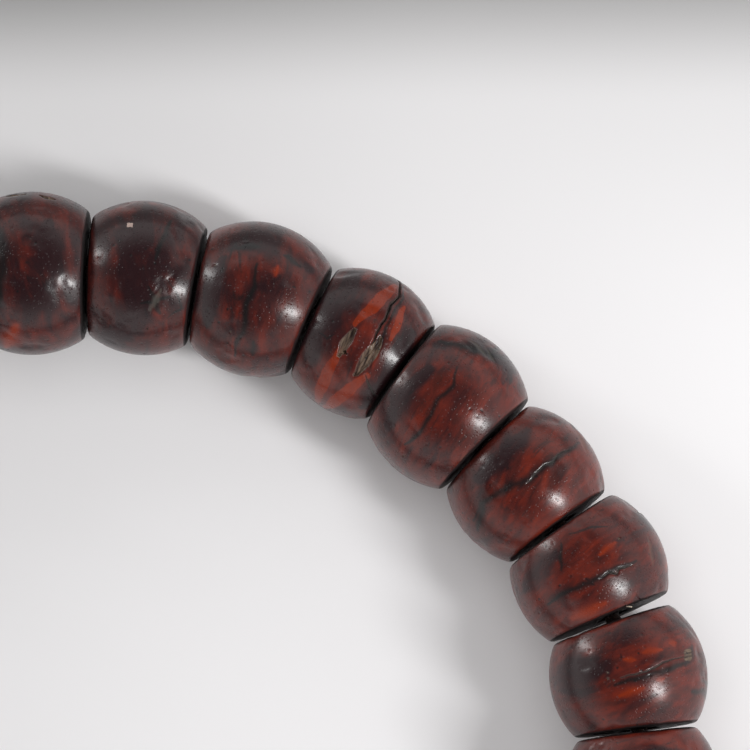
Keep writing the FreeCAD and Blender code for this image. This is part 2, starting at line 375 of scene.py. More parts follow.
def plied_cord_tree():
    """Plies twisted round a path, with stray fibres standing off them."""
    tree, given, out = new_tree(
        "Plied cord", "GeometryNodeTree",
        [
            ("Geometry", SHAPE, None), ("Plies", WHOLE, 3), ("Cord Radius", NUMBER, 0.00055),
            ("Twist Length", NUMBER, 0.0022), ("Step", NUMBER, 0.00016), ("Sides", WHOLE, 8),
            ("Fibres", NUMBER, 4e6), ("Fibre Length", NUMBER, 0.0005), ("Seed", WHOLE, 1),
            ("Material", FINISH, None),
        ],
        [("Geometry", SHAPE)],
    )
    stepped = {"Curve": given["Geometry"], "Length": given["Step"]}
    line = add(tree, "GeometryNodeResampleCurve", stepped, mode="LENGTH")
    copies = tree.nodes.new("GeometryNodeDuplicateElements")
    copies.domain = "SPLINE"
    feed(tree, copies.inputs["Geometry"], line)
    feed(tree, copies.inputs["Amount"], given["Plies"])
    length = Value(tree, add(tree, "GeometryNodeSplineParameter", output="Length"))
    turn = length / given["Twist Length"] + Value(tree, copies.outputs["Duplicate Index"]) / given["Plies"]
    angle = turn * (2 * math.pi)
    normal = add(tree, "GeometryNodeInputNormal")
    tangent = add(tree, "GeometryNodeInputTangent")
    side = add(tree, "ShaderNodeVectorMath", {0: normal, 1: tangent}, operation="CROSS_PRODUCT")
    ply_radius = Value(tree, given["Cord Radius"]) * 0.5
    shift_one = scaled(tree, normal, angle.calc("COSINE") * ply_radius)
    shift_two = scaled(tree, side, angle.calc("SINE") * ply_radius)
    shift = add(tree, "ShaderNodeVectorMath", {0: shift_one, 1: shift_two}, operation="ADD")
    strands = copies.outputs["Geometry"]
    twisted = add(tree, "GeometryNodeSetPosition", {"Geometry": strands, "Offset": shift})
    section = add(
        tree, "GeometryNodeCurvePrimitiveCircle", {"Resolution": given["Sides"], "Radius": ply_radius * 1.06},
    )
    plies = add(
        tree, "GeometryNodeCurveToMesh", {"Curve": twisted, "Profile Curve": section, "Fill Caps": True},
    )
    scatter = tree.nodes.new("GeometryNodeDistributePointsOnFaces")
    feed(tree, scatter.inputs["Mesh"], plies)
    feed(tree, scatter.inputs["Density"], given["Fibres"])
    feed(tree, scatter.inputs["Seed"], given["Seed"])
    fibre = Value(tree, given["Fibre Length"])
    bow = add(
        tree, "GeometryNodeCurveQuadraticBezier",
        {
            "Resolution": 4, "Start": (0, 0, 0), "Middle": vector(tree, fibre * 0.25, 0.0, fibre * 0.5),
            "End": vector(tree, fibre * 0.9, 0.0, fibre * 0.6),
        },
    )
    hair_section = add(tree, "GeometryNodeCurvePrimitiveCircle", {"Resolution": 3, "Radius": 0.000014})
    hair_shape = {"Curve": bow, "Profile Curve": hair_section, "Fill Caps": True}
    hair = add(tree, "GeometryNodeCurveToMesh", hair_shape)

    def chance(low, high):
        limits = {"Min": low, "Max": high, "Seed": given["Seed"]}
        return add(tree, "FunctionNodeRandomValue", limits, output=1, data_type="FLOAT")

    size = chance(0.4, 1.1)
    spin = chance(0.0, 2 * math.pi)
    aimed = add(
        tree, "FunctionNodeRotateRotation",
        {0: scatter.outputs["Rotation"], 1: add(
            tree, "FunctionNodeAxisAngleToRotation", {"Axis": (0, 0, 1), "Angle": spin},
        )},
        rotation_space="LOCAL",
    )
    hairs = add(
        tree, "GeometryNodeInstanceOnPoints",
        {"Points": scatter.outputs["Points"], "Instance": hair, "Rotation": aimed, "Scale": size},
    )
    joined = tree.nodes.new("GeometryNodeJoinGeometry")
    tree.links.new(plies, joined.inputs[0])
    tree.links.new(hairs, joined.inputs[0])
    finish_tree(tree, joined.outputs[0], given["Material"], out)
    return tree


def show(name, data):
    """Put an object that holds the data in the scene."""
    holder = bpy.data.objects.new(name, data)
    bpy.context.scene.collection.objects.link(holder)
    return holder


def settled(holder):
    """The mesh that an object comes to with its curve or modifiers worked out."""
    made = holder.evaluated_get(bpy.context.evaluated_depsgraph_get())
    return bpy.data.meshes.new_from_object(made)


def grow(tree, values, base=None):
    """Run a shape rule with its inputs set and return the mesh that it makes."""
    holder = show("blank", base or bpy.data.meshes.new("blank"))
    modifier = holder.modifiers.new("rule", "NODES")
    modifier.node_group = tree
    for item in tree.interface.items_tree:
        if item.item_type == "SOCKET" and item.in_out == "INPUT" and item.name in values:
            modifier[item.identifier] = values[item.name]
    mesh = settled(holder)
    holder.modifiers.remove(modifier)
    bpy.data.objects.remove(holder)
    return mesh


# Marks of wear, carved bead by bead


# A place is degrees round the bead from its top towards the outside of the loop, and millimetres along
# it towards the next bead. Widths and depths are in millimetres.
Mark = namedtuple("Mark", "kind path width depth")
KINDS = ("flare", "streak", "plum", "crack", "scar", "scuff", "chip")   # those that the material shows
UNMARKED = -1.0


def flare(path, width, strength=0.5):
    """A lens of orange heartwood that shows through the dark skin; a strong one has a crisp edge."""
    return Mark("flare", path, width * (1 + 0.3 / strength), strength)


def streak(path, width):
    """A blue-black vein."""
    return Mark("streak", path, width, 0.0)


def plum(path, width):
    """A stretch where the skin stays dark and violet."""
    return Mark("plum", path, width, 0.0)


def crack(path, width=0.055, depth=0.14):
    """A split with dust in it; the material darkens it and paints its core black as painted shade in the
    split.
    """
    return Mark("crack", path, width, depth)


def scar(path, width, depth):
    """A torn place with fibres laid bare."""
    return Mark("scar", path, width, depth)


def hollow(path, width, depth):
    """A pocket with a flat floor."""
    return Mark("hollow", path, width, depth)


def dent(path, width, depth):
    """A broad shallow flat, only seen by how it catches the light."""
    return Mark("dent", path, width, depth)


def chip(path, width):
    """A small place where the skin has flaked off and the pale shell shows."""
    return Mark("chip", path, width, 0.03)


def scuff(path, width):
    """A rubbed, greyed place."""
    return Mark("scuff", path, width, 0.015)


WORN = {
    "bead_10": [
        dent([(29, 0.65), (19, 1.1)], 1.8, 0.045), dent([(-13, 2.45), (-28, 2.25)], 1.4, 0.04),
        flare([(-73, -1.7), (-57, -1.2), (-44, -0.8)], 0.55),
        scar([(78, -1.5), (72, -0.35)], 0.3, 0.16), scar([(71, 0.65), (65, 1.7)], 0.25, 0.12),
        streak([(45, -2.15), (10, -1.55), (-26, -1.9)], 0.5), plum([(35, 1.45), (-25, 1.2)], 1.3),
    ],
    "bead_11": [
        dent([(-9, 1.85), (-5, 1.5)], 1.5, 0.05), dent([(-30, 2.55), (-31, 1.85)], 1.4, 0.045),
        dent([(-41, 0.45), (-37, -0.35)], 1.6, 0.05), dent([(-15, -0.9), (-7, -1.3)], 1.8, 0.04),
        plum([(65, 0.25), (25, -0.35), (-46, 0.25)], 1.7), scuff([(-11, 1.5), (-19, 1.25), (-27, 0.95)], 0.4),
        streak([(-9, 0.7), (-19, 1.25), (-31, 1.6)], 0.3), streak([(-17, 2.15), (-22, 0.3)], 0.22),
        chip([(38, -1.1), (40, -0.85)], 0.34),
        streak([(-3, 1.95), (-17, 2.7), (-27, 3.05), (-37, 1.95)], 0.12),
        hollow([(-45, 0.8), (-44, 0.85)], 0.1, 0.08), hollow([(-45, -2.45), (-44, -2.45)], 0.1, 0.08),
        streak([(50, 1.7), (13, 1)], 0.3),
    ],
    "bead_12": [
        dent([(25, -1.75), (33, -0.95)], 1.5, 0.04), dent([(-25, 2.45), (-35, 2.05)], 1.4, 0.03),
        streak([(24, -0.3), (7, 0), (-8, -0.15), (-28, 0.15), (-40, -0.25), (-53, -0.05)], 0.3),
        plum([(35, -2.3), (45, -0.75), (43, 1.45), (41, 3.1)], 1.3), streak([(35, -1.75), (39, -0.5)], 0.4),
        streak([(38, 1.3), (36, 2.45)], 0.35), plum([(25, -2.55), (-35, -2.35)], 0.9),
        flare([(27, 1.05), (19, 1.15)], 0.24), streak([(-35, 0.95), (-48, 1.05)], 0.35),
        hollow([(-33, -0.75), (-32, -0.7)], 0.09, 0.07), hollow([(16, -2.95), (17, -2.95)], 0.09, 0.06),
    ],
    "bead_13": [
        plum([(66, -2.6), (25, -2.25), (-45, -2.05)], 1.5),
        flare([(67, 0.2), (37, -0.1), (10, -0.6)], 0.42, 2.5), flare([(47, 1.5), (15, 2)], 0.27, 2.2),
        flare([(-13, -0.6), (-42, -0.5), (-78, -0.35)], 0.42, 2.4),
        flare([(-21, 1.85), (-45, 1.15), (-81, 0.25)], 0.46, 2.6),
        # This dark streak beside the split is a painted shadow of the split, drawn as a vein.
        streak([(83, 0.35), (55, 1.1), (27, 1.2), (7, 1.55), (-15, 1.8)], 0.17),
        crack([(83, 0.05), (71, 0.45), (55, 0.8), (40, 0.75), (27, 0.9), (10, 1), (3, 1.05)], 0.07, 0.22),
        scar([(10, 1.35), (-7, 1.35), (-25, 1.15)], 0.5, 0.3),
        crack([(-21, 1.65), (-30, 2.4), (-40, 3.1)], 0.045, 0.1),
        plum([(36, 2.95), (-15, 3.05), (-56, 2.65)], 0.9), hollow([(6, -0.45), (-18, -0.45)], 0.4, 0.22),
        hollow([(-14, -0.2), (-13, -0.2)], 0.25, 0.5),
        streak([(-9, -2.55), (-12, -1.7), (-5, -1.35)], 0.09),
    ],
    "bead_14": [
        streak([(27, -0.9), (15, -0.25), (-1, -0.35), (-9, -0.15), (-24, 0.2), (-44, -0.1)], 0.26),
        streak([(41, -3), (52, -0.85), (69, 0.8)], 0.6), plum([(36, -3), (56, -0.9), (72, 1.6)], 1.1),
        plum([(15, -2.2), (-45, -1.8)], 1.0),
        scuff([(59, -1.7), (56, -0.2)], 0.3), scuff([(64, -0.55), (57, 0.6)], 0.22),
        hollow([(-55, 0.2), (-54, 0.25)], 0.11, 0.1), hollow([(26, -1.5), (27, -1.5)], 0.08, 0.06),
        streak([(62, 2.1), (54, 2.3)], 0.2), scuff([(-30, 3.35), (-12, 3.45)], 0.08),
    ],
    "bead_15": [
        streak([(65, 0.5), (48, 0.5), (6, 0.2), (-20, -0.55), (-37, -0.75), (-55, -0.35)], 0.42),
        crack([(48, 0.45), (35, 0.25), (30, 0.4), (22, 0.2), (12, 0.25), (2, 0.35)], 0.034, 0.05),
        scuff([(82, -0.9), (74, 0.4), (66, 1.3)], 0.55), plum([(35, -2.35), (-25, -2.15)], 1.2),
        plum([(-45, 0.45), (-75, 0.2)], 1.6), streak([(-35, -0.65), (-57, 0.25)], 0.5),
    ],
    "bead_16": [
        streak([(40, 1.15), (14, 0.95), (-2, 0.95), (-19, 0.7), (-41, 0.7)], 0.3),
        crack([(33, 1.25), (22, 1.1), (19, 1.35), (14, 0.95), (6, 1.05)], 0.055, 0.09),
        streak([(-7, -2.3), (-16, -0.75)], 0.22), streak([(-4, 0.6), (1, 1.25)], 0.24),
        streak([(1, -2.6), (18, -2.3), (33, -1.8)], 0.12), scuff([(62, 0), (55, 1.85)], 0.35),
        flare([(-33, 2.4), (-17, 2.55), (-1, 2.65)], 0.42), flare([(30, -0.6), (13, -0.35)], 0.22),
        hollow([(34, -0.8), (35, -0.7)], 0.12, 0.06), plum([(-15, -1.8), (-55, -0.95)], 1.2),
    ],
    "bead_17": [
        crack([(51, -0.25), (36, -0.3), (29, -0.15), (22, 0.1), (15, 0.15), (-4, 0.25)], 0.036, 0.06),
        streak([(55, 0.1), (26, 0.4), (-9, 0.6)], 0.35), scar([(58, -0.65), (51, -0.15)], 0.5, 0.05),
        streak([(62, -0.9), (50, 0.25)], 0.6), flare([(45, -1.35), (39, -1.35)], 0.27),
        flare([(30, -1.05), (15, -1.1)], 0.25), flare([(9, -0.75), (0, -0.9)], 0.2),
        flare([(11, 1.2), (-9, 1.4)], 0.3), flare([(28, 0.9), (22, 0.95)], 0.2),
        hollow([(-9, 0.25), (-10, 0.25)], 0.12, 0.07), hollow([(-13, 0.05), (-14, 0.05)], 0.13, 0.08),
        hollow([(-12, -0.35), (-13, -0.35)], 0.1, 0.07), plum([(-15, -0.85), (-65, -0.65)], 1.8),
    ],
    "bead_18": [streak([(50, 0.4), (10, 0.2), (-40, 0.6)], 0.35), plum([(60, -1.8), (-20, -2.0)], 0.9)],
}
TONES = {
    "bead_10": 0.15, "bead_11": 0.30, "bead_12": 0.50, "bead_13": 0.50, "bead_14": 0.65,
    "bead_15": 0.95, "bead_16": 0.75, "bead_17": 0.65, "bead_18": 0.8,
}
UNDERSIDE = (105, 255)   # degrees round a bead that lie face down on the surface
ALL_ROUND = (0, 360)


def chance_marks(seed, stretch, half):
    """Marks that wear leaves anywhere on a bead, drawn from its own seed."""
    draw = random.Random(seed)
    low, high = stretch
    marks = []

    def run(length, lean):
        start = draw.uniform(low, high)
        spot = draw.uniform(-0.75, 0.75) * half
        turns = [0, length * draw.uniform(0.3, 0.6), length]
        return [(start - turn, spot + lean * turn / 60 + draw.uniform(-0.15, 0.15)) for turn in turns]

    share = (high - low) / 360
    for kind, most, span, width in (
        (plum, 4, 80, (0.8, 1.7)), (streak, 4, 70, (0.18, 0.45)), (flare, 4, 34, (0.2, 0.5)),
        (scuff, 2, 12, (0.2, 0.45)),
    ):
        for _ in range(round(most * share + draw.random() * 0.8)):
            marks.append(kind(run(draw.uniform(0.4, 1) * span, draw.uniform(-1, 1)), draw.uniform(*width)))
    if draw.random() < 0.75 * share + 0.1:
        path = run(draw.uniform(25, 60), draw.uniform(-0.8, 0.8))
        marks.append(crack(path, 0.055, draw.uniform(0.08, 0.16)))
    if draw.random() < 0.3 * share:
        marks.append(scar(run(draw.uniform(10, 22), 0.3), draw.uniform(0.25, 0.45), draw.uniform(0.08, 0.2)))
    return marks


def reach_to(path, across, along, radius):
    """Each vertex's distance to a mark's path over the surface, and how far along the path it is."""
    corners = np.array([(math.radians(angle) * radius, place) for angle, place in path])
    lap = 2 * math.pi * radius
    middle = corners[:, 0].mean()
    spot = np.stack([(across - middle + lap / 2) % lap - lap / 2 + middle, along], 1)
    best = np.full(len(spot), 1e9)
    share = np.zeros(len(spot))
    runs = np.linalg.norm(np.diff(corners, axis=0), axis=1)
    total = runs.sum()
    done = 0.0
    for start, end, run in zip(corners[:-1], corners[1:], runs):
        reach = np.clip(((spot - start) @ (end - start)) / run ** 2, 0, 1)
        far = np.linalg.norm(spot - start - reach[:, None] * (end - start), axis=1)
        nearer = far < best
        best[nearer] = far[nearer]
        share[nearer] = ((done + reach * run) / total)[nearer]
        done += run
    return best, share


def smooth(values, low, high):
    t = np.clip((values - low) / (high - low), 0, 1)
    return t * t * (3 - 2 * t)


def carve(mesh, marks, radius, bore, tone, depth_in=None):
    """Cut a bead's marks into its mesh, and note where each kind is for its material."""
    spots = spots_of(mesh).astype(float) / MM
    out_from_axis = np.hypot(spots[:, 0], spots[:, 1])
    across = np.arctan2(spots[:, 0], spots[:, 1]) * radius
    along = spots[:, 2]
    bent_across = across + 0.09 * np.sin(2.3 * along + tone * 40) + 0.04 * np.sin(7.1 * along)
    bent_along = along + 0.035 * np.sin(2.9 * across + tone * 70) + 0.015 * np.sin(7.3 * across)
    outer = smooth(out_from_axis, bore + 0.35 * (radius - bore), bore + 0.6 * (radius - bore))
    depth = np.zeros(len(spots))
    noted = {kind: np.full(len(spots), UNMARKED) for kind in KINDS}
    for mark in marks:
        fine = mark.kind in ("crack", "hollow")
        far, share = reach_to(mark.path, across if fine else bent_across, bent_along, radius)
        width = mark.width * (0.35 + 0.65 * np.sin(math.pi * np.clip(share, 0.02, 0.98)))
        inside = 1 - far / width
        if mark.kind == "hollow":
            cut = smooth(inside, 0, 0.55)
            noted["scar"] = np.maximum(noted["scar"], inside * 0.8)
        elif mark.kind == "scar":
            fibres = 0.5 + 0.3 * np.sin(bent_along * 31 + 0.8 * np.sin(across * 3))
            fibres = fibres + 0.2 * np.sin(bent_along * 53 + across * 9)
            cut = smooth(inside, 0, 0.6) * (0.45 + 0.55 * fibres)
        elif mark.kind == "crack":
            cut = smooth(1 - far / np.maximum(width, 0.11), 0, 1)
        else:
            cut = smooth(inside, 0, 1)
        if mark.kind in noted:
            kept = 1 - far / (3 * width) if mark.kind == "crack" else inside
            if mark.kind == "flare":
                kept = np.where(inside > 0, inside * mark.depth, inside)
            noted[mark.kind] = np.maximum(noted[mark.kind], kept)
        if mark.kind != "flare":
            depth = np.maximum(depth, cut * mark.depth * outer)
    pull = 1 - depth / np.maximum(out_from_axis, 0.5)
    spots[:, :2] *= pull[:, None]
    place_spots(mesh, spots * MM)
    for kind, values in noted.items():
        store(mesh, kind, np.where(outer > 0.05, values, UNMARKED))
    store(mesh, "tone", np.full(len(spots), tone))
    # The end attribute marks the bead ends and the ground round the bore, where the material paints shade
    # between the beads and in the bore.
    end = np.zeros(len(spots))
    if depth_in:
        end = np.maximum(1 - smooth(depth_in(spots), 0.05, 0.15), 1 - outer)
    store(mesh, "end", end)


def spots_of(mesh):
    spots = np.empty(len(mesh.vertices) * 3, np.float32)
    mesh.vertices.foreach_get("co", spots)
    return spots.reshape(-1, 3)


def place_spots(mesh, spots):
    mesh.vertices.foreach_set("co", spots.astype(np.float32).ravel())


def store(mesh, name, values):
    layer = mesh.attributes.new(name, "FLOAT", "POINT")
    layer.data.foreach_set("value", np.asarray(values, np.float32))


# Finishes


def attribute(tree, name, output="Fac"):
    return add(tree, "ShaderNodeAttribute", output=output, attribute_name=name)


DYES = ("Red", "Plum", "Vein", "Heart", "Dust")
DEEP_RED = (0.052, 0.0090, 0.0064, 1)
# Black painted in the core of a split: painted shade in the split.
SPLIT_PAINTED_SHADE = (0.004, 0.004, 0.004, 1)
TORN_DARK, TORN_PALE = (0.020, 0.012, 0.009, 1), (0.15, 0.105, 0.072, 1)
BARE_SHELL = (0.42, 0.31, 0.27, 1)
# Near black painted on the bead ends and round the bore: painted shade between the beads and in the bore.
END_AND_BORE_PAINTED_SHADE = (0.004, 0.003, 0.003, 1)


def seed_skin_group():
    """Dyed seed: plum and red-brown figure drawn out round the bead, veins, heartwood, splits and dust, with
    painted shade in the splits and pits, on the bead ends and round the bore.
    """
    tree, given, out = new_tree(
        "Seed skin", "ShaderNodeTree",
        [
            ("Place", PLACE, None), ("Tone", NUMBER, 0.5),
            *((kind.title(), NUMBER, UNMARKED) for kind in KINDS),
            ("Pit", NUMBER, 0.0), ("End", NUMBER, 0.0), *((f"{dye} Colour", COLOUR, None) for dye in DYES),
        ],
        [("Colour", COLOUR), ("Roughness", NUMBER), ("Height", NUMBER)],
    )
    place = given["Place"]
    tone = Value(tree, given["Tone"])
    drawn = grain_place(tree, place, 0.18, 0.32, 0.8)
    fibre_place = grain_place(tree, place, 0.18, 0.45, 3.0)
    figure = noise(tree, drawn, 0.8, 5.0, 0.55, 0.8)
    patches = noise(tree, place, 0.30, 3.0)
    fibres = noise(tree, fibre_place, 1.1, 3.0, 0.6)
    fine = noise(tree, place, 3.0, 3.0, 0.6)
    loose = (fibres - 0.5) * 0.55 + (fine - 0.5) * 0.45
    warmth = figure * 0.6 + patches * 0.4 + (tone - 0.5) * 0.17 + loose * 0.10
    plum_mark = (Value(tree, given["Plum"]) + loose * 0.6).ramp(-0.25, 0.8)
    red_share = (warmth - plum_mark * 0.14).ramp(0.36, 0.62)
    mottle = noise(tree, drawn, 1.7, 4.0, 0.55, 0.6)
    red = mix(tree, mottle.ramp(0.28, 0.64), DEEP_RED, given["Red Colour"])
    skin = mix(tree, red_share, given["Plum Colour"], red)
    glow = noise(tree, drawn, 1.7, 4.0, 0.6, 0.5)
    rust = (glow + tone * 0.08).ramp(0.54, 0.86) * red_share * plum_mark.flip() * 0.45
    skin = mix(tree, rust, skin, given["Heart Colour"])
    soft_vein = noise(tree, drawn, 1.3, 5.0, 0.62, 1.4).ramp(0.54, 0.76)
    skin = mix(tree, soft_vein * 0.72, skin, given["Vein Colour"])
    edge_red = (Value(tree, given["Flare"]) + loose * 0.5).ramp(-0.8, 0.2) * 0.4
    skin = mix(tree, edge_red, skin, given["Red Colour"])
    heart = (Value(tree, given["Flare"]) + loose * 0.30).ramp(0.0, 0.5)
    skin = mix(tree, heart * (fibres.ramp(0.25, 0.6) * 0.35 + 0.65), skin, given["Heart Colour"])
    vein = (Value(tree, given["Streak"]) + loose * 0.9).ramp(-0.35, 0.95)
    skin = mix(tree, vein * 0.88, skin, given["Vein Colour"])
    speck_far, speck_chance, _other = cells(tree, place, 2.6)
    speck = speck_far.ramp(0.05, 0.16).flip() * speck_chance.ramp(0.83, 0.86)
    skin = mix(tree, speck * 0.8, skin, given["Vein Colour"])
    rubbed = (Value(tree, given["Scuff"]) + loose * 1.6).ramp(0.0, 0.9)
    skin = mix(tree, rubbed * 0.16, skin, given["Dust Colour"])
    # Round a split the skin is darkened and its core painted black: painted shade in the split; the pale dust
    # along it is real.
    split_near = Value(tree, given["Crack"]) + (fine - 0.5) * 0.25
    dusty = split_near.ramp(0.56, 0.72) * split_near.ramp(0.78, 0.92).flip() * fine.ramp(0.30, 0.55)
    core = split_near.ramp(0.78, 0.90)
    skin = mix(tree, split_near.ramp(0.0, 0.6) * 0.7, skin, given["Vein Colour"])
    skin = mix(tree, dusty * 0.22, skin, given["Dust Colour"])
    skin = mix(tree, core, skin, SPLIT_PAINTED_SHADE)
    torn = (Value(tree, given["Scar"]) + loose * 0.3).ramp(0.0, 0.25)
    torn_colour = mix(tree, fibres.ramp(0.36, 0.62), TORN_DARK, TORN_PALE)
    skin = mix(tree, torn * 0.85, skin, torn_colour)
    # The pits are painted dark with the vein colour: painted shade in the pits.
    skin = mix(tree, Value(tree, given["Pit"]).ramp(0.1, 0.6) * 0.75, skin, given["Vein Colour"])
    chip = (Value(tree, given["Chip"]) + loose * 1.2).ramp(0.1, 0.4)
    skin = mix(tree, chip * 0.9, skin, BARE_SHELL)
    # The bead ends, where the beads face each other, and the ground round the bore are painted almost black:
    # painted shade between the beads and in the bore.
    end = (Value(tree, given["End"]) + loose * 0.3).ramp(0.15, 0.8)
    skin = mix(tree, end * 0.92, skin, END_AND_BORE_PAINTED_SHADE)
    tree.links.new(skin, out["Colour"])

    pore_far, pore_chance, _other = cells(tree, place, 4.2)
    pore = pore_far.ramp(0.08, 0.34).flip() * pore_chance.ramp(0.35, 0.4)
    grain = noise(tree, place, 6.0, 3.0, 0.65)
    rough = grain * 0.10 + pore * 0.22 + torn * 0.4 + rubbed * 0.22 + core * 0.3
    rough = rough + split_near.ramp(0.1, 0.6) * 0.45 + end * 0.4 + patches * 0.08 + 0.20
    feed(tree, out["Roughness"], rough.calc("MINIMUM", 1.0))
    height = grain * 0.30 + fibres * 0.12 - pore * 0.85 - speck * 0.5 + torn * fibres * 1.2
    feed(tree, out["Height"], height)
    return tree


def seed_material(name, group, settings, tone_shift=0.0):
    """The seed finish, with the marks that each bead carries."""
    material, tree, shader = new_material(name)
    tone = Value(tree, attribute(tree, "tone")) + tone_shift
    skin = use_group(
        tree, group,
        {
            "Place": attribute(tree, "place", "Vector"), "Tone": tone,
            **{kind.title(): attribute(tree, kind) for kind in (*KINDS, "pit", "end")},
            **{f"{dye} Colour": (*getattr(settings, dye.lower()), 1) for dye in DYES},
        },
    )
    tree.links.new(skin.outputs["Colour"], shader.inputs["Base Color"])
    tree.links.new(skin.outputs["Roughness"], shader.inputs["Roughness"])
    bump(tree, shader, skin.outputs["Height"], 0.02 * MM)
    set_values(shader, {"Specular IOR Level": 0.30, "Coat Weight": 0.16, "Coat Roughness": 0.17})
    return material


def set_values(shader, values):
    for name, value in values.items():
        shader.inputs[name].default_value = value


def new_material(name):
    material = bpy.data.materials.new(name)
    material.use_nodes = True
    tree = material.node_tree
    return material, tree, tree.nodes["Principled BSDF"]


def bump(tree, shader, height, distance):
    normal = add(tree, "ShaderNodeBump", {"Height": height, "Distance": distance, "Strength": 1.0})
    tree.links.new(normal, shader.inputs["Normal"])


def in_millimetres(tree):
    return scaled(tree, add(tree, "ShaderNodeTexCoord", output="Object"), 1 / MM)


PORE_DARK = (0.01, 0.005, 0.004, 1)
DRY_THREAD = (0.16, 0.12, 0.09, 1)


def wood_material(settings):
    """Turned and waxed dark wood for the tower bead."""
    material, tree, shader = new_material("waxed_tower_wood")
    x, y, z = split(tree, in_millimetres(tree))
    drawn = vector(tree, x * 1.5, y * 0.25, z * 1.5)
    figure = noise(tree, drawn, 1.4, 4.0, 0.6, 0.5)
    pores = noise(tree, vector(tree, x * 5.0, y * 0.9, z * 5.0), 1.2, 2.0)
    colour = mix(tree, figure.ramp(0.35, 0.68), (*settings.dark, 1), (*settings.light, 1))
    colour = mix(tree, pores.ramp(0.60, 0.70) * 0.8, colour, PORE_DARK)
    tree.links.new(colour, shader.inputs["Base Color"])
    feed(tree, shader.inputs["Roughness"], figure * 0.15 + pores * 0.12 + 0.28)
    bump(tree, shader, figure * 0.3 - pores.ramp(0.58, 0.72), 0.02 * MM)
    set_values(shader, {"Coat Weight": 0.3, "Coat Roughness": 0.2})
    return material


def thread_material(name, settings):
    """Waxed cotton thread: dark, with paler dry fibres."""
    material, tree, shader = new_material(name)
    place = in_millimetres(tree)
    strands = noise(tree, place, 5.0, 3.0, 0.7)
    dry = noise(tree, place, 0.7, 2.0)
    colour = mix(tree, strands.ramp(0.35, 0.7), (*settings.dark, 1), (*settings.light, 1))
    colour = mix(tree, dry.ramp(0.6, 0.8) * 0.35, colour, DRY_THREAD)
    tree.links.new(colour, shader.inputs["Base Color"])
    feed(tree, shader.inputs["Roughness"], strands * 0.25 + 0.6)
    bump(tree, shader, noise(tree, place, 9.0, 2.0, 0.7), 0.04 * MM)
    set_values(shader, {"Sheen Weight": 0.25, "Sheen Roughness": 0.5})
    return material


def fibre_material(name, colour):
    """A loose dry fibre, mottled with paler stretches."""
    material, tree, shader = new_material(name)
    paler = (*(part * 1.6 for part in colour), 1)
    tone = noise(tree, in_millimetres(tree), 3.0)
    tree.links.new(mix(tree, tone, (*colour, 1), paler), shader.inputs["Base Color"])
    set_values(shader, {"Roughness": 0.8})
    return material


# Pieces


def face_out(mesh):
    """Point every face outwards and shade smooth."""
    shape = bmesh.new()
    shape.from_mesh(mesh)
    bmesh.ops.recalc_face_normals(shape, faces=shape.faces)
    shape.to_mesh(mesh)
    shape.free()
    mesh.shade_smooth()


def lift_off_floor(mesh):
    """Bring what pokes below the floor up to it."""
    spots = spots_of(mesh)
    spots[:, 2] = np.maximum(spots[:, 2], 0)
    place_spots(mesh, spots)


def piece(name, mesh, body, nodes):
    """Put a finished mesh in the scene, on its body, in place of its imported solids."""
    shown = show(name, mesh)
    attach(shown, body)
    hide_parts(*nodes)
    return shown


def cord_line():
    """The cord's way from one trimmed end round the loop to the other, as control points."""
    tail = Vector(JOINTS["tower"]["axis"]).normalized()
    guru = box_middle("guru_bead")
    knot = box_middle("closing_knot")
    low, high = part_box("stringing_cord")
    radius = bpy.context.scene.mala_cord.radius
    height = box_middle(BEADS[0]).z
    line = []
    for node in BEADS:
        bead = Bead(node)
        bead.middle.z = height
        line += [bead.middle - bead.axis * bead.half * 0.8, bead.middle + bead.axis * bead.half * 0.8]
    side = Vector((radius + 0.00005, 0, 0))
    spread = Vector((0.002, 0, 0))
    end = Vector((knot.x, low.y + 0.0002, radius + 0.0002))
    left = [end - side - spread, knot + (end - knot) * 0.35 - side - spread * 0.3, knot - side - tail * 0.001]
    left += [guru + tail * (far * MM) - side for far in (10.5, 6.0, 1.2)]
    left += [guru - side * 4, guru - side * 9.5]
    right = [Vector((2 * guru.x - spot.x, spot.y, spot.z)) for spot in reversed(left)]
    return left + line + right


def nurbs(points, name):
    """A smooth curve that has the points as its control points."""
    curve = bpy.data.curves.new(name, "CURVE")
    curve.dimensions = "3D"
    curve.resolution_u = 12
    spline = curve.splines.new("NURBS")
    spline.points.add(len(points) - 1)
    for slot, point in zip(spline.points, points):
        slot.co = (*point, 1)
    spline.order_u = 3
    spline.use_endpoint_u = True
    return curve


def count(name, description, default, least):
    return IntProperty(name=name, description=description, default=default, min=least)


def number(name, description, default, **limits):
    return FloatProperty(name=name, description=description, default=default, **limits)


def length(name, description, metres):
    return number(name, description, metres, unit="LENGTH", precision=6)


def angle(name, description, degrees):
    return number(name, description, math.radians(degrees), subtype="ANGLE")


def power(name, description, watts):
    return number(name, description, watts, unit="POWER")


def tint(name, description, colour):
    return FloatVectorProperty(name=name, description=description, default=colour, subtype="COLOR")


